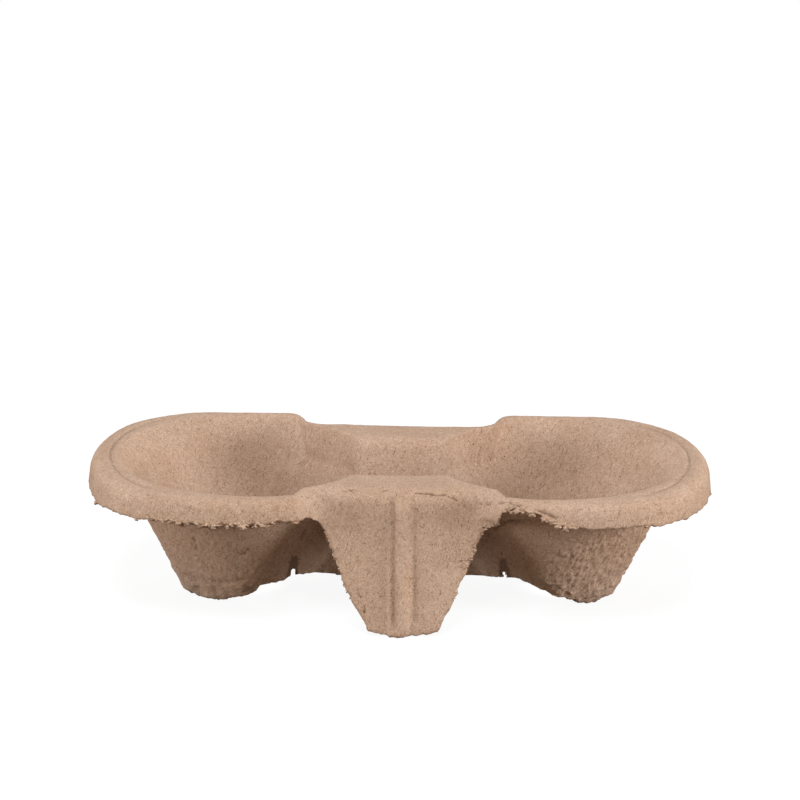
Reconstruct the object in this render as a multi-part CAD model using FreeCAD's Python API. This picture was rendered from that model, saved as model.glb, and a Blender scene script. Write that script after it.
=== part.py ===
import FreeCAD, Part
import math
import os
from FreeCAD import Vector

# A carrier for two cups, moulded in one piece from wood pulp. The sheet rolls over a rim, falls
# into two tapered pockets that are joined by a low valley, and crosses a saddle at the front and
# at the back, from which a leg runs down to the ground. Units are millimetres. The origin is on
# the ground, midway between the pockets. X runs along the carrier, Z is up.

# Overall sizes: length and width are over the lower edge of the skirt
carrier_length = 220.0
carrier_width = 110.0
rim_height = 50.5
wall = 2.0

# Plan of the rim: a flat arc at each end, and a rounder arc at each corner
end_radius = 75.0
corner_radius = 42.0

# Rim and its skirt
skirt_depth = 9.0
rim_roll_radius = 4.0
roll_steps = 3
skirt_flare = 1.0
end_dip = 3.0
dip_length = 28.0
ground_overhang = 4.0
groove_inset = 6.6
groove_width = 1.6
groove_depth = 0.8
groove_length = 26.0

# Saddles: the outer edge of each recedes from the sides, at a distance from the pocket's axis
waist_recess = 15.0
waist_bend_offset = 19.0
waist_bend_radius = 8.0

# Legs
leg_reach = 50.0
leg_foot_width = 24.5
leg_lean = 22.5
leg_foot_crown = 1.5
leg_root_radius = 14.0
rib_radius = 4.4
rib_height = 2.1
rib_stop = 1.5

# Pockets: a tapered wall, and above it a funnel that opens to the rim. The funnel ends at the
# saddles, where the wall runs up more steeply. Distances from the carrier's sides give the
# radii, and the width of the flat rim at each end gives the place of the pocket's axis.
end_rim_width = 9.5
throat_inset = 12.0
throat_depth = 7.0
funnel_inset = 6.5
funnel_start_offset = 17.5
funnel_start_width = 78.0
funnel_end_turn = 24.0
pocket_taper = 25.8
saddle_wall_draft = 6.0
round_depth = 12.5
foot_end_reach = 24.2
foot_front_reach = 21.8
foot_corner_radius = 11.0
foot_edge_radius = 6.0
throat_edge_radius = 3.0
floor_hole_radius = 9.5

# Valley between the pockets, and the rise of the floor towards it
valley_top_width = 40.0
valley_draft = 10.5
valley_edge_radius = 4.0
bridge_height = 10.5
rise_start_offset = 14.0
rise_end_offset = 10.0

# Slits that let the pocket walls give, at a distance from the pocket's axis
slit_offset = 13.2
slit_top = 22.5
slit_width = 3.8
slit_lean = 2.4
slit_reach = 46.0
slit_inner = 9.0

# Torn length of the front skirt, right of the leg
tear_start = 31.0
tear_peak_start = 36.5
tear_peak_end = 42.0
tear_end = 60.0
tear_height = 6.0

# Room that cutting shapes run past the material, how far in from the outside the skirt is cut,
# and the distance under which two places count as one
margin = 5.0
skirt_cut_depth = 1.5 * wall
same_place = 0.01

side_wall = wall / math.cos(math.radians(pocket_taper))
pocket_slope = math.tan(math.radians(pocket_taper))
skirt_bottom = rim_height - skirt_depth
throat_radius = carrier_width / 2 - throat_inset
funnel_radius = carrier_width / 2 - funnel_inset
pocket_x = carrier_length / 2 - end_rim_width - funnel_radius
rise_start = pocket_x + rise_start_offset
rise_end = pocket_x - rise_end_offset
slit_place = pocket_x - slit_offset
corner_y = carrier_width / 2 - corner_radius
end_x = carrier_length / 2 - end_radius
corner_x = end_x + math.sqrt((end_radius - corner_radius) ** 2 - corner_y ** 2)


def box(x_range, y_range, z_range):
    corner = Vector(x_range[0], y_range[0], z_range[0])
    return Part.makeBox(x_range[1] - x_range[0], y_range[1] - y_range[0],
                        z_range[1] - z_range[0], corner)


def line(start, end):
    return Part.LineSegment(start, end).toShape()


def arc(start, middle, end):
    return Part.Arc(start, middle, end).toShape()


def closed_prism(points, direction):
    """A prism on a closed polygon."""
    return Part.Face(Part.makePolygon(points + points[:1])).extrude(direction)


def turned(shape):
    """The same shape half a turn round the carrier's own axis."""
    copy = shape.copy()
    copy.rotate(Vector(0, 0, 0), Vector(0, 0, 1), 180)
    return copy


def mirrored(shape, x_sign, y_sign):
    """The shape as it is in one of the four quarters of the plan."""
    if x_sign < 0:
        shape = shape.mirror(Vector(0, 0, 0), Vector(1, 0, 0))
    if y_sign < 0:
        shape = shape.mirror(Vector(0, 0, 0), Vector(0, 1, 0))
    return shape


def draft_growth(z):
    """How far the outline stands outside its own size at the skirt's lower edge, at a height."""
    if z > skirt_bottom:
        return -skirt_flare * (z - skirt_bottom) / skirt_depth
    return (leg_reach + ground_overhang - carrier_width / 2) * (1 - z / skirt_bottom)


def waist_at(z):
    """Half width across the legs, which lean outwards towards the ground."""
    top = carrier_width / 2 - waist_recess
    return top + (leg_reach - top) * (rim_height - z) / rim_height


def plan_outline(z, inset):
    """Waisted outline: end arcs, corner arcs, straight sides and bends in to the waist."""
    growth = draft_growth(z) - inset
    end = end_radius + growth
    corner = corner_radius + growth
    side_y = corner_y + corner
    waist = waist_at(z) - inset
    step = (side_y - waist) / 2
    convex = waist_bend_radius + growth
    hollow = waist_bend_radius - growth
    run = math.sqrt((convex + hollow) ** 2 - (convex + hollow - 2 * step) ** 2)
    convex_centre = Vector(pocket_x - waist_bend_offset + run / 2, side_y - convex, z)
    hollow_centre = Vector(convex_centre.x - run, waist + hollow, z)
    between = (hollow_centre - convex_centre).normalize()
    turn = convex_centre + between * convex
    convex_middle = convex_centre + (between + Vector(0, 1, 0)).normalize() * convex
    hollow_middle = hollow_centre - (between + Vector(0, 1, 0)).normalize() * hollow

    tip = Vector(end_x + end, 0, z)
    shoulder_way = Vector(corner_x - end_x, corner_y, 0).normalize()
    shoulder = Vector(end_x, 0, z) + shoulder_way * end
    corner_way = (shoulder_way + Vector(0, 1, 0)).normalize()
    corner_middle = Vector(corner_x, corner_y, z) + corner_way * corner
    side_start = Vector(corner_x, side_y, z)
    side_end = Vector(convex_centre.x, side_y, z)
    straight = Vector(hollow_centre.x, waist, z)

    def flip(point, x_sign, y_sign):
        return Vector(point.x * x_sign, point.y * y_sign, z)

    edges = []
    for sign in (1, -1):
        edges.append(arc(flip(shoulder, sign, -sign), flip(tip, sign, 1),
                         flip(shoulder, sign, sign)))
        quarter = [arc(shoulder, corner_middle, side_start), line(side_start, side_end),
                   arc(side_end, convex_middle, turn), arc(turn, hollow_middle, straight)]
        for edge in quarter:
            edges.append(mirrored(edge, sign, sign))
        edges.append(line(flip(straight, sign, sign), flip(straight, -sign, sign)))
        for edge in reversed(quarter):
            edges.append(mirrored(edge, -sign, sign))
    return Part.Wire(edges)


def rolled_body(reach, inset):
    """Solid under the outside of the carrier, with its upper edge rounded."""
    radius = rim_roll_radius - inset
    outlines = [plan_outline(z, inset)
                for z in (-reach, skirt_bottom, rim_height - rim_roll_radius)]
    for step in range(1, roll_steps + 1):
        angle = step * math.pi / 2 / roll_steps
        z = rim_height - rim_roll_radius + radius * math.sin(angle)
        outlines.append(plan_outline(z, inset + radius * (1 - math.cos(angle))))
    return Part.makeLoft(outlines, True, True)


def leg_rib(inset, reach):
    """Round rib down the middle of the front leg, which ends in a dome under the bend."""
    lean = Vector(0, waist_at(0) - waist_at(rim_height), rim_height).normalize()
    across = Vector(0, lean.z, -lean.y)
    radius = rib_radius - inset
    foot = Vector(0, -waist_at(0), 0) + across * (rib_radius - rib_height) - lean * reach
    length = rim_height - rib_stop - rib_radius + reach
    rod = Part.makeCylinder(radius, length, foot, lean)
    return rod.fuse(Part.makeSphere(radius, foot + lean * length))


def moulded_form(inset):
    """Everything under the carrier's upper face, drawn in by an inset, with the pockets taken out."""
    reach = margin * (1 + inset / wall / 2)
    rib = leg_rib(inset, reach)
    return rolled_body(reach, inset).fuse([rib, turned(rib)]).cut(cavity(inset))


def foot_corners(offset):
    """The flat-sided foot's quarter: ends of its round corners, and the centres of these."""
    radius = foot_corner_radius + offset
    centres = (Vector(foot_end_reach - foot_corner_radius, 0, 0),
               Vector(0, foot_front_reach - foot_corner_radius, 0))
    angle = math.atan2(centres[0].x, centres[1].y)
    way = Vector(math.cos(angle), math.sin(angle), 0) * radius
    return centres[0] + way, centres[1] + way


def foot_section(z, offset):
    """Pocket outline on the ground: four flat sides, with round corners to front, back and ends."""
    near_end, near_front = foot_corners(offset)
    end_tip = foot_end_reach + offset
    front_tip = foot_front_reach + offset

    def at(point, x_sign, y_sign):
        return Vector(point.x * x_sign, point.y * y_sign, z)

    edges = []
    for x_sign, y_sign in ((1, 1), (-1, 1), (-1, -1), (1, -1)):
        first, second = (near_end, near_front) if x_sign == y_sign else (near_front, near_end)
        side = line(at(first, x_sign, y_sign), at(second, x_sign, y_sign))
        if x_sign == y_sign:
            edges.append(arc(at(near_end, x_sign, -y_sign), Vector(x_sign * end_tip, 0, z),
                             at(near_end, x_sign, y_sign)))
        else:
            edges.append(arc(at(near_front, -x_sign, y_sign), Vector(0, y_sign * front_tip, z),
                             at(near_front, x_sign, y_sign)))
        edges.append(side)
    return Part.Wire(edges)


def round_section(z, radius, offset):
    """Circle in eight arcs that answer to the edges of the foot section."""
    near_end, near_front = foot_corners(offset)
    first = math.atan2(near_end.y, near_end.x)
    second = math.atan2(near_front.y, near_front.x)
    stops = [-first, first, second, math.pi - second, math.pi - first, math.pi + first,
             math.pi + second, 2 * math.pi - second, 2 * math.pi - first]
    edges = []
    for start, end in zip(stops, stops[1:]):
        ring = [Vector(radius * math.cos(stop), radius * math.sin(stop), z)
                for stop in (start, (start + end) / 2, end)]
        edges.append(arc(*ring))
    return Part.Wire(edges)


def moved_out(points, distance):
    """A broken line in the XZ plane, shifted to its right by a distance."""
    sides = []
    for first, second in zip(points, points[1:]):
        along = (second - first).normalize()
        normal = Vector(along.z, 0, -along.x)
        sides.append((first + normal * distance, along))
    shifted = [sides[0][0]]
    for (start, along), (other, after) in zip(sides, sides[1:]):
        across = along.x * after.z - along.z * after.x
        gap = other - start
        shifted.append(start + along * ((gap.x * after.z - gap.z * after.x) / across))
    last = (points[-1] - points[-2]).normalize()
    return shifted + [points[-1] + Vector(last.z, 0, -last.x) * distance]


def turned_solid(profile):
    """Solid of a closed profile in the XZ plane, turned round the Z axis."""
    face = Part.Face(Part.makePolygon(profile + profile[:1]))
    return face.revolve(Vector(0, 0, 0), Vector(0, 0, 1), 360)


def funnel_space(inset):
    """Plan of the funnel: all of the pocket but the sides that face the saddles."""
    turn = math.radians(funnel_end_turn)
    half = funnel_start_width / 2
    tip = -funnel_start_offset - half * math.tan(turn) - inset / math.cos(turn)
    reach = carrier_width
    far = tip + reach * math.tan(turn)
    points = [Vector(tip, 0, -margin), Vector(far, reach, -margin),
              Vector(carrier_length, reach, -margin), Vector(carrier_length, -reach, -margin),
              Vector(far, -reach, -margin)]
    return closed_prism(points, Vector(0, 0, 2 * rim_height))


def pocket_form(inset):
    """Space of the right pocket, about its own axis, up past the rim."""
    top = rim_height + margin
    throat_z = rim_height - throat_depth
    round_z = rim_height - round_depth
    round_radius = throat_radius - (throat_z - round_z) * pocket_slope
    offset = side_wall * inset / wall
    start = Vector(round_radius + offset, 0, round_z)
    steep = start.x + (top - round_z) * math.tan(math.radians(saddle_wall_draft))
    upper = turned_solid([Vector(0, 0, round_z), start, Vector(steep, 0, top), Vector(0, 0, top)])
    line_in = moved_out([Vector(round_radius, 0, round_z), Vector(throat_radius, 0, throat_z),
                         Vector(funnel_radius, 0, rim_height), Vector(funnel_radius, 0, top)],
                        inset)
    funnel = turned_solid([Vector(0, 0, round_z), start] + line_in[1:3]
                          + [Vector(line_in[2].x, 0, top), Vector(0, 0, top)])
    throat = [edge for edge in funnel.Edges if edge.BoundBox.ZMin > line_in[1].z - same_place
              and edge.BoundBox.ZMax < line_in[1].z + same_place]
    funnel = funnel.makeFillet(throat_edge_radius, throat).common(funnel_space(inset))

    floor = wall - inset
    offset = offset - side_wall
    lower = Part.makeLoft([foot_section(0, offset), round_section(round_z, start.x, offset)],
                          True, True)
    lower = lower.common(box((-carrier_width, carrier_width), (-carrier_width, carrier_width),
                             (floor, rim_height)))
    floor_edges = [edge for edge in lower.Edges if edge.BoundBox.ZMax < floor + same_place]
    lower = lower.makeFillet(foot_edge_radius - floor, floor_edges)
    return lower.fuse([upper, funnel])


def valley_form(inset):
    """Trough that joins the pockets, with flared upper edges."""
    draft = math.radians(valley_draft)
    edge = valley_edge_radius - inset
    half_turn = (math.pi / 2 + draft) / 2
    centre_y = valley_top_width / 2 + valley_edge_radius / math.tan(half_turn)
    centre_z = rim_height - valley_edge_radius

    def on_edge(angle, side):
        return Vector(0, side * (centre_y - edge * math.cos(angle)),
                      centre_z + edge * math.sin(angle))

    top = rim_height + margin
    start = on_edge(draft, 1)
    floor_y = start.y - start.z * math.tan(draft)
    ring = [Vector(0, -floor_y, 0), on_edge(draft, -1), on_edge(math.pi / 2, -1),
            Vector(0, -centre_y, top), Vector(0, centre_y, top), on_edge(math.pi / 2, 1),
            start, Vector(0, floor_y, 0)]
    middle_angle = (draft + math.pi / 2) / 2
    edges = [line(ring[0], ring[1]), arc(ring[1], on_edge(middle_angle, -1), ring[2]),
             line(ring[2], ring[3]), line(ring[3], ring[4]), line(ring[4], ring[5]),
             arc(ring[5], on_edge(middle_angle, 1), ring[6]), line(ring[6], ring[7]),
             line(ring[7], ring[0])]
    trough = Part.Face(Part.Wire(edges)).extrude(Vector(2 * pocket_x, 0, 0))
    trough.translate(Vector(-pocket_x, 0, 0))
    return trough


def floor_rise(inset):
    """Raised ground between the feet of the two pockets, on which the floor of the sheet lies."""
    slope = bridge_height / (rise_start - rise_end)
    lift = wall - inset
    bridge = bridge_height + lift
    shift = lift * math.sqrt(1 + slope ** 2) / slope
    start = rise_start + shift + margin / slope
    end = start - (bridge + margin) / slope
    reach = carrier_width
    points = [Vector(-start, -reach, -margin), Vector(-end, -reach, bridge),
              Vector(end, -reach, bridge), Vector(start, -reach, -margin)]
    return closed_prism(points, Vector(0, 2 * reach, 0))


def cavity(inset):
    """The whole hollow that takes the cups, grown by an inset."""
    right = pocket_form(inset)
    right.translate(Vector(pocket_x, 0, 0))
    left = turned(right)
    return right.fuse([left, valley_form(inset)]).cut(floor_rise(inset))


def leg_keep():
    """Everything above the skirt's lower edge, with the front leg hanging from it."""
    half = leg_foot_width / 2
    run = math.tan(math.radians(leg_lean)) * (skirt_bottom - leg_foot_crown)
    reach = -carrier_width
    top = rim_height + margin
    far = carrier_length / 2 + margin
    dip_start = carrier_length / 2 - dip_length
    corners = [Vector(-half, reach, leg_foot_crown), Vector(half, reach, leg_foot_crown),
               Vector(half + run, reach, skirt_bottom), Vector(dip_start, reach, skirt_bottom),
               Vector(far, reach, skirt_bottom - end_dip), Vector(far, reach, top),
               Vector(-far, reach, top), Vector(-far, reach, skirt_bottom - end_dip),
               Vector(-dip_start, reach, skirt_bottom), Vector(-half - run, reach, skirt_bottom)]
    edges = [arc(corners[0], Vector(0, reach, 0), corners[1])]
    for first, second in zip(corners[1:], corners[2:] + corners[:1]):
        edges.append(line(first, second))
    keep = Part.Face(Part.Wire(edges)).extrude(Vector(0, carrier_width, 0))
    roots = (corners[2], corners[9])
    root_edges = [edge for edge in keep.Edges for root in roots
                  if all(abs(end.X - root.x) + abs(end.Z - root.z) < same_place
                         for end in edge.Vertexes)]
    return keep.makeFillet(leg_root_radius, root_edges)


def skirt_zone():
    """Everything outside the pockets: the skirt, both legs and the space round them."""
    space = box((-carrier_length, carrier_length), (-carrier_width, carrier_width),
                (-2 * margin, 2 * rim_height))
    inside = Part.makeLoft([plan_outline(z, skirt_cut_depth)
                            for z in (-2 * margin, skirt_bottom, 3 * rim_height / 2)], True, True)
    return space.cut(inside)


def skirt_tear():
    """Piece torn out of the front skirt beside the leg."""
    reach = -carrier_width
    top = skirt_bottom + tear_height
    points = [Vector(tear_start, reach, skirt_bottom - margin),
              Vector(tear_peak_start, reach, top), Vector(tear_peak_end, reach, top),
              Vector(tear_end, reach, skirt_bottom),
              Vector(tear_end, reach, skirt_bottom - margin)]
    return closed_prism(points, Vector(0, carrier_width, 0))


def slits():
    """Four narrow slits in the inner walls of the pockets, each open at its lower end."""
    first = []
    for side in (-1, 1):
        points = [Vector(slit_place - slit_lean, side * slit_inner, slit_top),
                  Vector(slit_place - slit_width / 2, side * slit_inner, -margin),
                  Vector(slit_place + slit_width / 2, side * slit_inner, -margin)]
        first.append(closed_prism(points, Vector(0, side * (slit_reach - slit_inner), 0)))
    return first + [turned(slit) for slit in first]


def rim_grooves():
    """A shallow groove in the rim round each end."""
    levels = (rim_height - groove_depth, rim_height + margin)
    outer = Part.makeLoft([plan_outline(z, groove_inset - groove_width / 2) for z in levels],
                          True, True)
    inner = Part.makeLoft([plan_outline(z, groove_inset + groove_width / 2) for z in levels],
                          True, True)
    end = box((carrier_length / 2 - groove_length, carrier_length),
              (-carrier_width, carrier_width), levels)
    return [outer.cut(inner).common(side) for side in (end, turned(end))]


def cup_carrier():
    sheet = moulded_form(0).cut(moulded_form(wall))
    front = leg_keep()
    keep = front.fuse(turned(front))
    waste = skirt_zone().cut(keep)
    torn = skirt_zone().common(skirt_tear())
    holes = []
    for side in (-1, 1):
        holes.append(Part.makeCylinder(floor_hole_radius, rim_height,
                                       Vector(side * pocket_x, 0, -margin)))
    return sheet.cut([waste, torn] + holes + slits() + rim_grooves())


if __name__ == "__main__":
    os.makedirs("parts", exist_ok=True)
    carrier = cup_carrier()
    print("solids", len(carrier.Solids), "valid", carrier.isValid(),
          "volume cm3", round(carrier.Volume / 1000, 2), carrier.BoundBox)
    carrier.exportStep("parts/cup_carrier.step")
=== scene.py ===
import math
import random

import bpy
import numpy as np
from mathutils import Matrix, Vector, noise


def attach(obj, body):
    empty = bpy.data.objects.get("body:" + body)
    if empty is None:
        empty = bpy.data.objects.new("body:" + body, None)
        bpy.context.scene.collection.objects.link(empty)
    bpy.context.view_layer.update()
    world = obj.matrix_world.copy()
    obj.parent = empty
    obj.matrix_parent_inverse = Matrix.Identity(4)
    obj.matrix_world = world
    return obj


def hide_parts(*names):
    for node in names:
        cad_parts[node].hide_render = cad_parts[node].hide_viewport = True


# Two-cup carrier of moulded pulp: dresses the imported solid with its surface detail, and sets up the studio

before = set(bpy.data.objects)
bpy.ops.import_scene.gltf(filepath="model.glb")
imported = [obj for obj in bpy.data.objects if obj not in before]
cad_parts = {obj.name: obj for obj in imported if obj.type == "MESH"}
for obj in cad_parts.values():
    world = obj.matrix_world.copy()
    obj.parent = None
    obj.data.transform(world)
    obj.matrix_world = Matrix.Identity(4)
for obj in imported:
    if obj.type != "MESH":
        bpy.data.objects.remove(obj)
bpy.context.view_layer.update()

MM = 0.001
PICTURE_WIDTH = 800

# Sizes of the solid that the surface detail is laid out from, in millimetres
POCKET_X = 52.0
THROAT_RADIUS = 43.0
THROAT_Z = 43.5
POCKET_SLOPE = math.tan(math.radians(25.8))
WALL = 2.0
SIDE_WALL = 2.2
SKIRT_EDGE = 41.5
END_DIP_X = (82.0, 110.0)
END_DIP = 2.55
RIM_HEIGHT = 50.5
WAIST = 40.0
LEG_REACH = 50.0
LEG_HALF_WIDTH = 12.25
LEG_CROWN = 1.5
LEG_SLOPE = math.tan(math.radians(22.5))
LEG_ROOT_Z = (32.9, 37.0, 40.0, 41.5)
LEG_ROOT = (0.0, 0.8, 3.2, 9.4)
RISE_X = (42.0, 66.0)
RISE_HEIGHT = 10.5
TEAR_X = (31.0, 36.5, 42.0, 60.0)
TEAR_HEIGHT = 6.0
SLIT_X = 38.8
SLIT_LEAN = 2.4
SLIT_WIDTH = 3.8
SLIT_TOP = 22.5

# Where the zones of the sheet lie, in millimetres
LEG_SPAN = 36.0
ZONE_MARGIN = 1.2
CONE_MARGIN = 1.4
RIM_TOP_GAP = 0.8
SKIRT_START_Y = 38.0
SKIRT_START_X = 90.0
SKIRT_EDGE_BAND = (2.6, 0.3)
LEG_EDGE_BAND = (2.4, 0.3)
FOOT_EDGE_BAND = (3.0, 0.8)
FOOT_TOP = 3.0
FELT_TOP = (42.0, 30.0)
UNDERSIDE_TOP = (15.0, 9.0)
RIGHT_FELT_X = (42.0, 62.0)

# Noise that shapes the sheet: size of its features in millimetres, seed, octaves
LONG_WAVE = (24.0, 1)
SHORT_WAVE = (8.0, 2)
FINE_FELT = (1.9, 3, 2)
COARSE_FELT = (2.2, 4, 2)
UNDERSIDE_LUMPS = (4.2, 11, 2)
EDGE_BUMPS = (2.1, 5, 2)
RIB_SHAKE = (1.6, 14)
CRACK_GAPS = (2.6, 13)
CRACK_SHAKE = (1.4, 12)
SKIRT_JAG = (7.0, 6, 2)
SKIRT_FINE_JAG = (1.8, 7)
LEG_SHAKE = (4.6, 8, 2)
LEG_FINE_SHAKE = (1.5, 9)
FOOT_SHAKE = (3.0, 10, 2)

# Heights of the detail, in millimetres
LONG_WAVE_HEIGHT = 0.28
SHORT_WAVE_HEIGHT = 0.12
FINE_FELT_HEIGHT = 0.07
RIGHT_FELT_HEIGHT = 0.48
LEFT_FELT_HEIGHT = 0.2
UNDERSIDE_HEIGHT = 0.7
SKIRT_BUMP = 0.5
LEG_BUMP = 0.25
LEG_SHAKE_HEIGHT = 0.45
FOOT_SHAKE_HEIGHT = 0.6
RIGHT_BULGE = 2.3
FOOT_ASKEW = 1.6
LEFT_ROOT_RISE = 1.3

# Sheet mesh
VOXEL = 0.6 * MM
MOST_TRIANGLES = 180000
FLAKE_COUNT = 480
FLAKE_SEED = 5

# Camera: where it stands round the carrier, and where the carrier's middle lies in the picture
VIEW_ELEVATION = 18.0
VIEW_AZIMUTH = 0.0
VIEW_DISTANCE = 2.2
VIEW_ROLL = 0.67
FOCAL_PIXELS = 6197.0
SENSOR_WIDTH = 36.0
CLIP_RANGE = (0.05, 20.0)
MIDDLE = Vector((0, 0, 0.025))
MIDDLE_PIXEL = (400.8, 524.4)


def smooth_step(values, start, end):
    """0 at start, 1 at end, smooth between them."""
    share = np.clip((values - start) / (end - start), 0, 1)
    return share * share * (3 - 2 * share)


def window(values, start, full, full_end, end):
    """0 up to start, 1 between the two inner values, 0 again from end on."""
    return smooth_step(values, start, full) * smooth_step(values, end, full_end)


def noise_at(points, size, seed, octaves=1):
    """Smooth noise at points in millimetres, with features of about a size."""
    shift = Vector((seed * 17.3, seed * 7.9, seed * 3.1))
    result = []
    for point in points:
        place = Vector(point) / size + shift
        value = noise.noise(place)
        level, share = 1, 1.0
        while level < octaves:
            place = place * 2.03
            share *= 0.5
            value += share * noise.noise(place)
            level += 1
        result.append(value)
    return np.array(result)


def make_camera():
    """Camera that sees the carrier as the photograph does."""
    elevation, azimuth = math.radians(VIEW_ELEVATION), math.radians(VIEW_AZIMUTH)
    back = Vector((math.sin(azimuth) * math.cos(elevation),
                   -math.cos(azimuth) * math.cos(elevation), math.sin(elevation)))
    right = Vector((math.cos(azimuth), math.sin(azimuth), 0))
    pitch = math.atan((MIDDLE_PIXEL[1] - PICTURE_WIDTH / 2) / FOCAL_PIXELS)
    yaw = math.atan((MIDDLE_PIXEL[0] - PICTURE_WIDTH / 2) / FOCAL_PIXELS)
    forward = Matrix.Rotation(yaw, 3, "Z") @ Matrix.Rotation(pitch, 3, right) @ -back
    data = bpy.data.cameras.new("camera")
    data.sensor_width = SENSOR_WIDTH
    data.lens = FOCAL_PIXELS * data.sensor_width / PICTURE_WIDTH
    data.clip_start, data.clip_end = CLIP_RANGE
    camera = bpy.data.objects.new("camera", data)
    bpy.context.scene.collection.objects.link(camera)
    turn = forward.to_track_quat("-Z", "Y").to_matrix() @ Matrix.Rotation(
        math.radians(VIEW_ROLL), 3, "Z")
    camera.matrix_world = Matrix.Translation(MIDDLE + back * VIEW_DISTANCE) @ turn.to_4x4()
    bpy.context.scene.camera = camera
    return camera


def picture_places(points, camera):
    """Where points in millimetres appear in the square picture, in pixels."""
    world = np.array(camera.matrix_world.inverted())
    seen = points * MM @ world[:3, :3].T + world[:3, 3]
    across = PICTURE_WIDTH / 2 + FOCAL_PIXELS * seen[:, 0] / -seen[:, 2]
    down = PICTURE_WIDTH / 2 - FOCAL_PIXELS * seen[:, 1] / -seen[:, 2]
    return np.column_stack([across, down])


def line_distance(places, line):
    """Distance of each place from a broken line, all in the same plane."""
    best = np.full(len(places), 1e9)
    for start, end in zip(line, line[1:]):
        start, along = np.array(start, float), np.array(end, float) - np.array(start, float)
        share = np.clip((places - start) @ along / (along @ along), 0, 1)
        gap = places - start - share[:, None] * along
        best = np.minimum(best, np.hypot(gap[:, 0], gap[:, 1]))
    return best


def sheet_mesh():
    """Even mesh of the moulded sheet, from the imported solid."""
    piece = bpy.data.objects.new("pulp_sheet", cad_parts["cup_carrier"].data.copy())
    bpy.context.scene.collection.objects.link(piece)
    remesh = piece.modifiers.new("remesh", "REMESH")
    remesh.mode = "VOXEL"
    remesh.voxel_size = VOXEL
    relax = piece.modifiers.new("relax", "SMOOTH")
    relax.factor = 0.5
    relax.iterations = 3
    apply_modifiers(piece)
    return piece


def apply_modifiers(piece):
    """Puts the mesh that the modifiers make in the place of the piece's own."""
    graph = bpy.context.evaluated_depsgraph_get()
    mesh = bpy.data.meshes.new_from_object(piece.evaluated_get(graph), depsgraph=graph)
    piece.modifiers.clear()
    piece.data = mesh


def read_points(mesh):
    """Places in millimetres and normals of a mesh's vertices."""
    points = np.zeros(len(mesh.vertices) * 3, np.float32)
    mesh.vertices.foreach_get("co", points)
    normals = np.zeros(len(mesh.vertices) * 3, np.float32)
    mesh.vertices.foreach_get("normal", normals)
    return points.reshape(-1, 3).astype(float) / MM, normals.reshape(-1, 3).astype(float)


def leg_half_width(z):
    """Half the width of a leg at a height, with the curve of its roots."""
    return LEG_HALF_WIDTH + (z - LEG_CROWN) * LEG_SLOPE + np.interp(z, LEG_ROOT_Z, LEG_ROOT)


def zones(points, normals):
    """How far each point belongs to the skirt's edge, the legs' edges and the pockets' outsides."""
    x, y, z = np.abs(points[:, 0]), np.abs(points[:, 1]), points[:, 2]
    reach = np.hypot(x - POCKET_X, y)
    cone = THROAT_RADIUS + (z - THROAT_Z) * POCKET_SLOPE + SIDE_WALL
    waist = WAIST + (LEG_REACH - WAIST) * (RIM_HEIGHT - z) / RIM_HEIGHT
    leg = (x < LEG_SPAN) & (y > waist - WALL - ZONE_MARGIN)
    side_gap = (leg_half_width(z) - x) / math.hypot(1, LEG_SLOPE)
    leg_edge = smooth_step(side_gap, *LEG_EDGE_BAND) * leg * (z < SKIRT_EDGE - 1)
    leg_edge = np.maximum(leg_edge, smooth_step(z, *FOOT_EDGE_BAND) * leg)
    skirt = (reach > cone + ZONE_MARGIN) & (z < RIM_HEIGHT - RIM_TOP_GAP) & ~leg & (
        (y > SKIRT_START_Y) | (x > SKIRT_START_X))
    edge_z = SKIRT_EDGE - np.interp(x, END_DIP_X, (0, END_DIP))
    front = points[:, 1] < 0
    edge_z += front * np.interp(points[:, 0], TEAR_X, (0, TEAR_HEIGHT, TEAR_HEIGHT, 0))
    skirt_edge = smooth_step(z - edge_z, *SKIRT_EDGE_BAND) * skirt
    radial = (normals[:, 0] * (points[:, 0] - np.sign(points[:, 0]) * POCKET_X)
              + normals[:, 1] * points[:, 1]) / np.maximum(reach, 1)
    outside = (radial > 0.15) & (normals[:, 2] < 0.2) & (reach < cone + CONE_MARGIN) & (
        z < THROAT_Z) & (y < waist - 5)
    return skirt_edge, leg_edge, outside.astype(float)


def weight_of_tear(points):
    """How much the edge is frayed at each point: most on the front, left of the leg and at the tear."""
    x, y = points[:, 0], points[:, 1]
    front = y < -20
    left = window(x, -92, -80, -24, -14) * front
    tear = window(x, TEAR_X[0] - 4, TEAR_X[0], TEAR_X[3], TEAR_X[3] + 3) * front
    legs = (np.abs(x) < 34) * 0.2
    legs = np.maximum(legs, 0.85 * front * (x > 19) * (x < 34) * smooth_step(points[:, 2], 20, 27))
    # Known fault: this has no limit on the far left, so three stray flakes sit on the left rim end
    legs = np.maximum(legs, 0.6 * front * (x < -19) * smooth_step(points[:, 2], 26, 30) * (
        points[:, 2] < 39))
    return np.maximum(np.maximum(left, tear), np.maximum(legs, 0.1 * (np.abs(x) < 92)))


def front_leg_shift(points):
    """The front leg's right edge bulges past the line of the left one, and its foot is askew."""
    x, z = points[:, 0], points[:, 2]
    past_edge = x - leg_half_width(z)
    bulge = RIGHT_BULGE * window(z, 2, 16, 40, 44) * smooth_step(-past_edge, 11, 0)
    bulge = bulge * smooth_step(past_edge, 8, 3)
    askew = FOOT_ASKEW * smooth_step(z, 18, 2) * smooth_step(np.abs(x), 5, 11) * (np.abs(x) < 32)
    return (bulge + askew) * (points[:, 1] < -36)


def beside_slit(points, reach):
    """Within a distance of the slits in the pockets' fronts."""
    x, z = np.abs(points[:, 0]), points[:, 2]
    centre = SLIT_X - SLIT_LEAN * z / SLIT_TOP
    half = SLIT_WIDTH / 2 * (1 - z / SLIT_TOP) + reach
    return (np.abs(x - centre) < half) & (z < SLIT_TOP) & (points[:, 1] < -20) & (
        points[:, 1] > -37)


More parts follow.
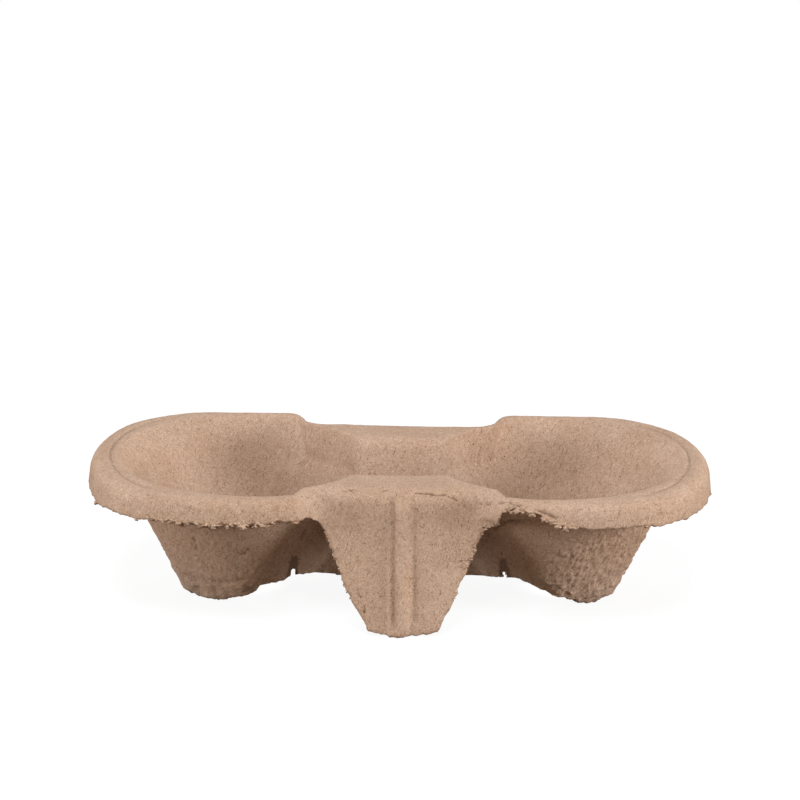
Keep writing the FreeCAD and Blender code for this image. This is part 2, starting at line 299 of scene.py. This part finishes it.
def surface_push(points, skirt_edge, leg_edge, outside, felted):
    """How far the waves, the felt and the bumps at the edges stand out of the smooth sheet."""
    push = noise_at(points, *LONG_WAVE) * LONG_WAVE_HEIGHT
    push = push + noise_at(points, *SHORT_WAVE) * SHORT_WAVE_HEIGHT
    push = push + noise_at(points, *FINE_FELT) * FINE_FELT_HEIGHT

    slanted = points @ np.array([[1.0, 0, 0.5], [0, 1, 0], [-0.5, 0, 1]])
    coarse = 2 * np.abs(noise_at(slanted * np.array([1.0, 1.0, 0.6]), *COARSE_FELT)) - 0.45
    right = RIGHT_FELT_HEIGHT * smooth_step(points[:, 0], *RIGHT_FELT_X)
    height = np.where(points[:, 0] > 0, right, LEFT_FELT_HEIGHT)
    push += outside * coarse * height * (0.35 + 0.65 * felted)

    underside = outside * smooth_step(points[:, 2], *UNDERSIDE_TOP)
    push += underside * noise_at(points, *UNDERSIDE_LUMPS) * UNDERSIDE_HEIGHT
    push += (skirt_edge * SKIRT_BUMP + leg_edge * LEG_BUMP) * noise_at(points, *EDGE_BUMPS)
    return push


def cut_cracks(push, points, normals, places):
    """Cuts the cracks, creases and dents into push, and returns the painted shade of each point: shade in
    the cracks, holes and slits and along the rib's flank, with a few brown specks.
    """
    facing = (normals[:, 1] < -0.1) & (points[:, 1] < -8)
    flank = np.hypot(line_distance(places, RIB_FLANK), 0.8 * noise_at(points, *RIB_SHAKE))
    # Painted shade: the slits' openings in full shade, and a line of shade along the rib's left flank, where
    # the light reaches it less
    painted_shade_and_specks = np.maximum(beside_slit(points, 1.2) * 1.0, facing * 0.5 * smooth_step(flank, 3.4, 0.4))
    broken = smooth_step(noise_at(points, *CRACK_GAPS), -0.25, 0.15)
    shake = 0.9 * noise_at(points, *CRACK_SHAKE)
    # Painted shade inside the cracks and holes, and a few brown specks
    for depth, half_width, shade, line in CRACKS:
        near = line_distance(places, line) + shake
        share = facing * np.where(0 < shade < 1, broken, 1.0)
        push -= share * depth * smooth_step(near, half_width, 0)
        painted_shade_and_specks = np.maximum(painted_shade_and_specks, share * shade * smooth_step(near, 0.6 * half_width, 0.2))
    for x, y, depth, half_width in DENTS:
        near = np.hypot(places[:, 0] - x, places[:, 1] - y)
        push -= (points[:, 1] < 0) * (normals[:, 2] > 0) * depth * smooth_step(near, half_width, 0)
    return painted_shade_and_specks


def pocket_lift(points, places):
    """How far the lower edge of the pockets' fronts is lifted."""
    bottom = np.interp(np.abs(points[:, 0]), RISE_X, (RISE_HEIGHT, 0))
    low = smooth_step(points[:, 2] - bottom, 9.0, 1.0) * (points[:, 1] < 0) * (
        np.abs(points[:, 1]) < 38)
    return np.interp(places[:, 0], *zip(*LIFTS)) * low * (np.abs(points[:, 0]) > 22)


def left_root_rise(points):
    """How far the front skirt's edge rises beside the leg's left root."""
    rise = smooth_step(points[:, 2] - SKIRT_EDGE, 6.0, 0.3) * (points[:, 1] < -30)
    rise *= window(points[:, 0], -50, -38, -28, -16)
    return rise * LEFT_ROOT_RISE


def skirt_jag(points, skirt_edge, fray):
    """How far the skirt's edge goes up and down."""
    drawn_out = points * np.array([1, 1, 0.25])
    jag = noise_at(drawn_out, *SKIRT_JAG)
    fine_jag = noise_at(drawn_out, *SKIRT_FINE_JAG)
    return skirt_edge * (jag * (0.5 + 1.1 * fray) + fine_jag * 0.6 * fray)


def leg_edge_shake(points, leg_edge):
    """How the legs' side edges move in and out, as a move of each point."""
    outward = np.column_stack([np.sign(points[:, 0]), np.zeros(len(points)),
                               np.full(len(points), -LEG_SLOPE)])
    outward /= np.linalg.norm(outward, axis=1)[:, None]
    drawn_out = points * np.array([0.3, 0.3, 1])
    shake = noise_at(drawn_out, *LEG_SHAKE)
    shake += 0.5 * noise_at(drawn_out, *LEG_FINE_SHAKE)
    return outward * (leg_edge * (points[:, 2] > FOOT_TOP) * shake * LEG_SHAKE_HEIGHT)[:, None]


def foot_lift(points, leg_edge):
    """How far the legs' lower edges are lifted off the ground."""
    shake = noise_at(points * np.array([1, 0.3, 0.3]), *FOOT_SHAKE)
    return leg_edge * (points[:, 2] <= FOOT_TOP + 0.5) * np.abs(shake) * FOOT_SHAKE_HEIGHT


def store(mesh, name, values):
    """Keeps a value for each vertex, for the material to read."""
    attribute = mesh.attributes.new(name, "FLOAT", "POINT")
    attribute.data.foreach_set("value", values.astype(np.float32))


def roughen(piece, camera):
    """Lays the moulded sheet's surface detail on its mesh: waviness, felt, ragged edges, cracks."""
    mesh = piece.data
    points, normals = read_points(mesh)
    places = picture_places(points, camera)
    skirt_edge, leg_edge, outside = zones(points, normals)
    fray = weight_of_tear(points)
    felted = smooth_step(points[:, 2], *FELT_TOP)
    up = np.array([0.0, 0.0, 1.0])

    push = surface_push(points, skirt_edge, leg_edge, outside, felted)
    painted_shade_and_specks = cut_cracks(push, points, normals, places)
    moved = points + normals * push[:, None] + up * pocket_lift(points, places)[:, None]
    moved[:, 0] += front_leg_shift(points)
    moved += up * left_root_rise(points)[:, None]
    moved += up * skirt_jag(points, skirt_edge, fray)[:, None]
    moved += leg_edge_shake(points, leg_edge)
    moved += up * foot_lift(points, leg_edge)[:, None]
    moved[:, 2] = np.maximum(moved[:, 2], 0.0)
    mesh.vertices.foreach_set("co", (moved * MM).astype(np.float32).ravel())

    edge = np.maximum(skirt_edge, leg_edge)
    store(mesh, "torn", np.clip(edge * (0.4 + fray), 0, 1))
    # Painted shade of the cracks, holes, slits and rib flank, with a few brown specks, for the material
    store(mesh, "shade_and_specks", painted_shade_and_specks)
    store(mesh, "felted", outside * felted)
    mesh.update()


# Cracks and creases: depth, half width and darkness of the shade painted into them, then the line they
# follow in the picture. The short lines are holes with painted shade, except the two at 352 and 358 across,
# which are brown specks
CRACKS = [
    (0.40, 1.8, 0.9, [(339.5, 494), (346, 491), (352, 490)]),
    (0.40, 1.8, 0.7, [(371, 494), (380, 493), (387, 490)]),
    (0.45, 1.9, 1.0, [(415, 493), (427, 493.5), (438, 495.5), (445, 495), (458, 501)]),
    (0.90, 2.2, 1.0, [(360.5, 609), (361.5, 613)]),
    (0.50, 1.6, 1.0, [(352, 589), (352.6, 590.5)]),
    (0.50, 1.6, 1.0, [(358.5, 594), (359.2, 597)]),
    (0.80, 2.0, 1.0, [(473, 546), (471, 550)]),
    (0.45, 2.4, 0.4, [(194, 538), (197, 547), (196, 556)]),
    (0.55, 2.4, 0.5, [(232, 545), (234, 552), (244, 555), (248, 549)]),
    (0.35, 3.4, 0.0, [(196, 581), (214, 582), (226, 584), (244, 580)]),
    (0.40, 2.2, 0.5, [(226, 500), (234, 505), (243, 509)]),
    (0.35, 2.0, 0.5, [(238, 503), (242, 512), (250, 515)]),
    (0.35, 2.0, 0.4, [(272, 511), (280, 508), (292, 507)]),
    (0.30, 2.0, 0.3, [(176, 504), (190, 510), (206, 512)]),
    (0.80, 2.6, 0.8, [(487, 505), (495, 503), (507, 502), (523, 506), (543, 513), (557, 519)]),
    (0.50, 2.4, 0.6, [(300, 549), (302, 540), (306, 534)]),
    (1.00, 3.6, 0.0, [(392, 506), (392.5, 560), (393.5, 624)]),
    (0.40, 3.2, 0.0, [(414.5, 510), (414, 560), (413.5, 622)]),
]

# Line beside the front leg's rib, along whose left flank a line of shade is painted
RIB_FLANK = [(393, 498), (393, 560), (394, 626)]

# Small dents: place in the picture, depth, half width
DENTS = [(112, 476, 0.7, 6), (104, 470, 0.3, 5), (627, 502, 0.25, 5)]

# How far the lower edge of the pockets' fronts stands up, by the place across the picture
LIFTS = [(215, 0), (225, 0.9), (249, 0.7), (256, 0.9), (260, 2.3), (266, 1.8), (283, 0.5),
         (288, 1.7), (300, 1.6), (318, 0.8), (335, 0.5), (400, 0), (470, 0.5), (486, 0.4),
         (502, 2.2), (518, 2.7), (524, 3.2), (533, 3.4), (540, 2.5), (546, 2.9), (550, 2.2),
         (568, 2.3), (577, 0.5), (590, 0)]


def flake(centre, along, across, size, chance, verts, faces):
    """Adds a thin irregular scale: two six-sided faces with a narrow edge between them."""
    base = len(verts)
    normal = along.cross(across).normalized()
    length, width, thickness = size
    radii = [chance.uniform(0.6, 1.15) for _ in range(6)]
    for side in (-1, 1):
        for corner in range(6):
            angle = corner * math.pi / 3
            shrink = radii[corner] * (1.0 if side < 0 else 0.72)
            verts.append(centre + along * (math.cos(angle) * shrink * length / 2)
                         + across * (math.sin(angle) * shrink * width / 2)
                         + normal * (side * thickness / 2 * chance.uniform(0.6, 1.4)))
    for corner in range(6):
        after = (corner + 1) % 6
        faces.append((base + corner, base + after, base + 6 + after, base + 6 + corner))
    faces.append(tuple(base + corner for corner in reversed(range(6))))
    faces.append(tuple(base + 6 + corner for corner in range(6)))


def torn_flakes(piece, count, seed):
    """Flakes that stand out of the ragged edges, as part of the same sheet."""
    chance = random.Random(seed)
    points, normals = read_points(piece.data)
    skirt_edge, leg_edge, _ = zones(points, normals)
    edge = np.maximum(skirt_edge, leg_edge)
    at_slit = beside_slit(points, 1.6) & (points[:, 0] > 0) & (normals[:, 1] < 0) & (
        points[:, 2] > 12)
    likely = (edge > 0.45) * (edge * weight_of_tear(points)) ** 1.5 + at_slit * 0.8
    outer = np.flatnonzero(likely > 0.02)
    picks = chance.choices(range(len(outer)), weights=likely[outer].tolist(), k=count)
    verts, faces = [], []
    for pick in picks:
        index = int(outer[pick])
        normal = Vector(normals[index])
        level = Vector((0, 0, 1)).cross(normal)
        if level.length < 0.2:
            level = Vector((1, 0, 0))
        level.normalize()
        turn = chance.gauss(0, 0.6)
        on_skirt = skirt_edge[index] > leg_edge[index]
        along = (level * math.cos(turn) + normal.cross(level) * math.sin(turn)).normalized()
        down = normal.cross(along)
        if down.z > 0:
            down = -down
        across = (down + normal * chance.uniform(0.0, 0.9 if on_skirt else 0.3)).normalized()
        length = chance.uniform(1.6, 4.6) if on_skirt else chance.uniform(0.8, 1.7)
        size = (length, length * chance.uniform(0.3, 0.5), chance.uniform(0.35, 0.8))
        centre = Vector(points[index]) + normal * chance.uniform(-0.15, 0.1) + across * (
            size[1] * 0.2)
        flake(centre, along, across, size, chance, verts, faces)
    mesh = bpy.data.meshes.new("flakes")
    for vertex in verts:
        vertex.z = max(vertex.z, 0.0)
    mesh.from_pydata([tuple(vertex * MM) for vertex in verts], [], faces)
    for name, value in (("torn", 0.9), ("felted", 0.6), ("shade_and_specks", 0.0)):
        store(mesh, name, np.full(len(verts), value))
    flakes = bpy.data.objects.new("flakes", mesh)
    bpy.context.scene.collection.objects.link(flakes)
    return flakes


def join(piece, other):
    """Makes the other object part of the piece."""
    bpy.ops.object.select_all(action="DESELECT")
    other.select_set(True)
    piece.select_set(True)
    bpy.context.view_layer.objects.active = piece
    bpy.ops.object.join()


class Shader:
    """A material under construction: adds nodes and links them by their sockets."""

    def __init__(self, name):
        self.material = bpy.data.materials.new(name)
        self.material.use_nodes = True
        self.tree = self.material.node_tree
        self.tree.nodes.clear()

    def add(self, kind, settings=None, **inputs):
        made = self.tree.nodes.new(kind)
        for key, value in (settings or {}).items():
            setattr(made, key, value)
        for key, value in inputs.items():
            self.feed(made.inputs[key.replace("_", " ")], value)
        return made

    def feed(self, socket, value):
        if isinstance(value, bpy.types.NodeSocket):
            self.tree.links.new(value, socket)
        else:
            socket.default_value = value

    def math(self, operation, first, second=0.0, clamp=False):
        made = self.add("ShaderNodeMath", {"operation": operation, "use_clamp": clamp})
        self.feed(made.inputs[0], first)
        self.feed(made.inputs[1], second)
        return made.outputs[0]

    def ramp(self, value, start, end):
        """0 at start, 1 at end, smooth between them."""
        made = self.add("ShaderNodeMapRange", {"interpolation_type": "SMOOTHSTEP"})
        for socket, given in zip(made.inputs, (value, start, end)):
            self.feed(socket, given)
        return made.outputs[0]

    def mix(self, share, first, second):
        made = self.add("ShaderNodeMix", {"data_type": "RGBA"})
        self.feed(made.inputs[0], share)
        self.feed(made.inputs[6], first)
        self.feed(made.inputs[7], second)
        return made.outputs[2]

    def noise(self, place, scale, detail=2.0, roughness=0.5):
        made = self.add("ShaderNodeTexNoise", Vector=place, Scale=scale, Detail=detail,
                        Roughness=roughness)
        return made.outputs["Fac"]

    def streaks(self, place, turn, long_scale, short_scale):
        """Noise stretched along one direction, for strands that lie in the sheet."""
        rotated = self.add("ShaderNodeMapping", Vector=place, Rotation=turn)
        mapped = self.add("ShaderNodeMapping", Vector=rotated.outputs[0],
                          Scale=(long_scale, short_scale, short_scale))
        return self.noise(mapped.outputs[0], 1.0, 1.0)

    def finish(self, colour, roughness, height, distance):
        bump = self.add("ShaderNodeBump", Strength=1.0, Distance=distance, Height=height)
        body = self.add("ShaderNodeBsdfPrincipled", Base_Color=colour, Roughness=roughness,
                        Normal=bump.outputs[0])
        body.inputs["Specular IOR Level"].default_value = 0.15
        self.add("ShaderNodeOutputMaterial", Surface=body.outputs[0])
        return self.material


def rgb(red, green, blue):
    """Linear colour from screen values of 0 to 255."""
    return tuple(((c / 255 + 0.055) / 1.055) ** 2.4 for c in (red, green, blue)) + (1.0,)


# Directions of the strands in the pulp, and their scales along and across
STRAND_TURNS = [(0.2, 0.4, 0.3), (0.9, -0.5, 1.4), (-0.6, 0.8, 2.3), (1.3, 0.2, -0.8),
                (0.5, 1.2, 0.9), (-1.1, 0.3, 1.9)]
STRAND_SCALES = (380.0, 2300.0)

# Specks: how close they lie, size, share of places left out, colour, strength
SPECKS = [(210.0, 0.075, 0.70, rgb(84, 58, 44), 0.8),
          (150.0, 0.055, 0.80, rgb(50, 42, 40), 0.85),
          (170.0, 0.060, 0.93, rgb(146, 74, 52), 0.8)]

# Heights of the material's bumps, in metres
BUMP_HEIGHT = 0.00015


def pulp_material():
    """Unbleached pulp: mottled kraft brown with fibres, specks and a fine felt."""
    shader = Shader("pulp")
    place = shader.add("ShaderNodeTexCoord").outputs["Object"]
    grain = shader.noise(place, 1800.0, 2.0, 0.6)
    mottle = shader.noise(place, 480.0, 3.0, 0.6)
    cloud = shader.noise(place, 45.0, 3.0)

    colour = shader.mix(shader.ramp(cloud, 0.3, 0.7), rgb(173, 144, 122), rgb(183, 156, 136))
    colour = shader.mix(shader.ramp(mottle, 0.3, 0.66), shader.mix(0.7, rgb(146, 112, 86), colour),
                        colour)
    colour = shader.mix(shader.ramp(grain, 0.34, 0.64), shader.mix(0.82, rgb(116, 82, 56), colour),
                        shader.mix(0.89, rgb(226, 204, 186), colour))

    height = shader.math("MULTIPLY", grain, 0.6)
    height = shader.math("ADD", height, shader.math("MULTIPLY", mottle, 0.7))
    for index, turn in enumerate(STRAND_TURNS):
        strand = shader.streaks(place, turn, *STRAND_SCALES)
        bright = index % 2 == 0
        mask = shader.ramp(strand, 0.65, 0.71) if bright else shader.ramp(strand, 0.36, 0.30)
        tone = rgb(216, 192, 170) if bright else rgb(112, 76, 50)
        colour = shader.mix(shader.math("MULTIPLY", mask, 0.35 if bright else 0.5), colour, tone)
        height = shader.math("ADD", height, shader.math("MULTIPLY", mask, 0.3))

    for scale, size, rare, tone, share in SPECKS:
        cells = shader.add("ShaderNodeTexVoronoi", Vector=place, Scale=scale)
        parts = shader.add("ShaderNodeSeparateColor", Color=cells.outputs["Color"])
        chosen = shader.math("GREATER_THAN", parts.outputs[0], rare)
        speck = shader.ramp(cells.outputs["Distance"], size, size * 0.6)
        speck = shader.math("MULTIPLY", speck, chosen)
        colour = shader.mix(shader.math("MULTIPLY", speck, share), colour, tone)

    torn = shader.add("ShaderNodeAttribute", {"attribute_name": "torn"}).outputs["Fac"]
    fresh = shader.mix(shader.ramp(mottle, 0.35, 0.65), rgb(160, 126, 100), rgb(206, 178, 152))
    colour = shader.mix(shader.math("MULTIPLY", shader.ramp(torn, 0.45, 1.0), 0.35), colour, fresh)
    # Painted shade from roughen: cracks, holes, slits and the rib's flank darkened, with a few brown specks
    shade_and_specks = shader.add("ShaderNodeAttribute", {"attribute_name": "shade_and_specks"}).outputs["Fac"]
    colour = shader.mix(shader.math("MULTIPLY", shade_and_specks, 0.7), colour, rgb(88, 56, 38))
    felted = shader.add("ShaderNodeAttribute", {"attribute_name": "felted"}).outputs["Fac"]
    coarse = shader.noise(place, 520.0, 2.0)
    lumps = shader.math("MULTIPLY", shader.math("MULTIPLY", coarse, felted), 1.6)
    height = shader.math("ADD", height, lumps)
    return shader.finish(colour, 0.95, height, BUMP_HEIGHT)


# Studio, in metres and watts
FLOOR_REACH = 3.0
FLOOR_GAP = 0.0002
WORLD_STRENGTH = 0.08
LIGHTS_AIM = Vector((0, 0, 0.03))
LIGHTS = [("left_light", (-1.3, -0.44, 0.30), (0.5, 0.4), 12.8),
          ("right_light", (1.3, -0.42, 0.32), (0.5, 0.4), 18.2),
          ("front_light", (-0.1, -0.75, 1.25), (0.8, 0.5), 17.0),
          ("back_light", (0.0, 1.0, 0.9), (0.9, 0.6), 7.0)]


def floor_material():
    """Pale floor that shows white to the eye and keeps the shadow."""
    shader = Shader("floor")
    rays = shader.add("ShaderNodeLightPath")
    seen = shader.math("ADD", rays.outputs["Is Camera Ray"], rays.outputs["Is Glossy Ray"], True)
    seen = shader.math("ADD", seen, rays.outputs["Is Transmission Ray"], True)
    place = shader.add("ShaderNodeTexCoord").outputs["Object"]
    reach = shader.add("ShaderNodeVectorMath", {"operation": "LENGTH"}, Vector=place)
    far = shader.ramp(reach.outputs["Value"], 0.14, 0.3)
    plain = shader.add("ShaderNodeBsdfDiffuse", Color=(0.26, 0.20, 0.155, 1))
    faint = shader.add("ShaderNodeBsdfDiffuse", Color=(0.12, 0.12, 0.12, 1))
    glow = shader.add("ShaderNodeEmission", Color=(1, 1, 1, 1), Strength=0.92)
    white = shader.add("ShaderNodeEmission", Color=(1, 1, 1, 1), Strength=1.0)
    near = shader.add("ShaderNodeAddShader")
    shader.feed(near.inputs[0], faint.outputs[0])
    shader.feed(near.inputs[1], glow.outputs[0])
    both = shader.add("ShaderNodeMixShader")
    shader.feed(both.inputs[0], far)
    shader.feed(both.inputs[1], near.outputs[0])
    shader.feed(both.inputs[2], white.outputs[0])
    surface = shader.add("ShaderNodeMixShader")
    shader.feed(surface.inputs[0], seen)
    shader.feed(surface.inputs[1], plain.outputs[0])
    shader.feed(surface.inputs[2], both.outputs[0])
    shader.add("ShaderNodeOutputMaterial", Surface=surface.outputs[0])
    return shader.material


def area_light(name, place, size, watts):
    """Rectangular white light that faces the carrier."""
    data = bpy.data.lights.new(name, "AREA")
    data.shape = "RECTANGLE"
    data.size, data.size_y = size
    data.energy = watts
    lamp = bpy.data.objects.new(name, data)
    bpy.context.scene.collection.objects.link(lamp)
    lamp.location = place
    lamp.rotation_mode = "QUATERNION"
    lamp.rotation_quaternion = (LIGHTS_AIM - Vector(place)).to_track_quat("-Z", "Y")


def make_world(strength):
    """Weak soft light from all round, which the camera sees as white."""
    world = bpy.data.worlds.new("world")
    bpy.context.scene.world = world
    world.use_nodes = True
    tree = world.node_tree
    tree.nodes.clear()
    rays = tree.nodes.new("ShaderNodeLightPath")
    seen = tree.nodes.new("ShaderNodeMath")
    seen.operation = "MAXIMUM"
    tree.links.new(rays.outputs["Is Camera Ray"], seen.inputs[0])
    tree.links.new(rays.outputs["Is Glossy Ray"], seen.inputs[1])
    soft = tree.nodes.new("ShaderNodeBackground")
    soft.inputs["Color"].default_value = (1, 0.94, 0.88, 1)
    soft.inputs["Strength"].default_value = strength
    white = tree.nodes.new("ShaderNodeBackground")
    white.inputs["Color"].default_value = (1, 1, 1, 1)
    white.inputs["Strength"].default_value = 1.0
    mixed = tree.nodes.new("ShaderNodeMixShader")
    tree.links.new(seen.outputs[0], mixed.inputs[0])
    tree.links.new(soft.outputs[0], mixed.inputs[1])
    tree.links.new(white.outputs[0], mixed.inputs[2])
    output = tree.nodes.new("ShaderNodeOutputWorld")
    tree.links.new(mixed.outputs[0], output.inputs["Surface"])


def make_floor():
    """Square floor just under the carrier."""
    mesh = bpy.data.meshes.new("floor")
    corners = [(-1, -1), (1, -1), (1, 1), (-1, 1)]
    mesh.from_pydata([(x * FLOOR_REACH, y * FLOOR_REACH, 0) for x, y in corners], [],
                     [(0, 1, 2, 3)])
    floor = bpy.data.objects.new("floor", mesh)
    bpy.context.scene.collection.objects.link(floor)
    floor.location.z = -FLOOR_GAP
    mesh.materials.append(floor_material())


def count_triangles(mesh):
    """Number of triangles that a mesh's faces come to."""
    return sum(len(face.vertices) - 2 for face in mesh.polygons)


camera = make_camera()
sheet = sheet_mesh()
roughen(sheet, camera)
thin = sheet.modifiers.new("thin", "DECIMATE")
thin.ratio = min(1.0, MOST_TRIANGLES / count_triangles(sheet.data))
apply_modifiers(sheet)
join(sheet, torn_flakes(sheet, FLAKE_COUNT, FLAKE_SEED))
sheet.data.materials.clear()
sheet.data.materials.append(pulp_material())
sheet.data.shade_smooth()
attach(sheet, "root")
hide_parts("cup_carrier")

make_floor()
make_world(WORLD_STRENGTH)
for light in LIGHTS:
    area_light(*light)
bpy.context.scene.view_settings.view_transform = "Standard"

print("triangles", count_triangles(sheet.data))
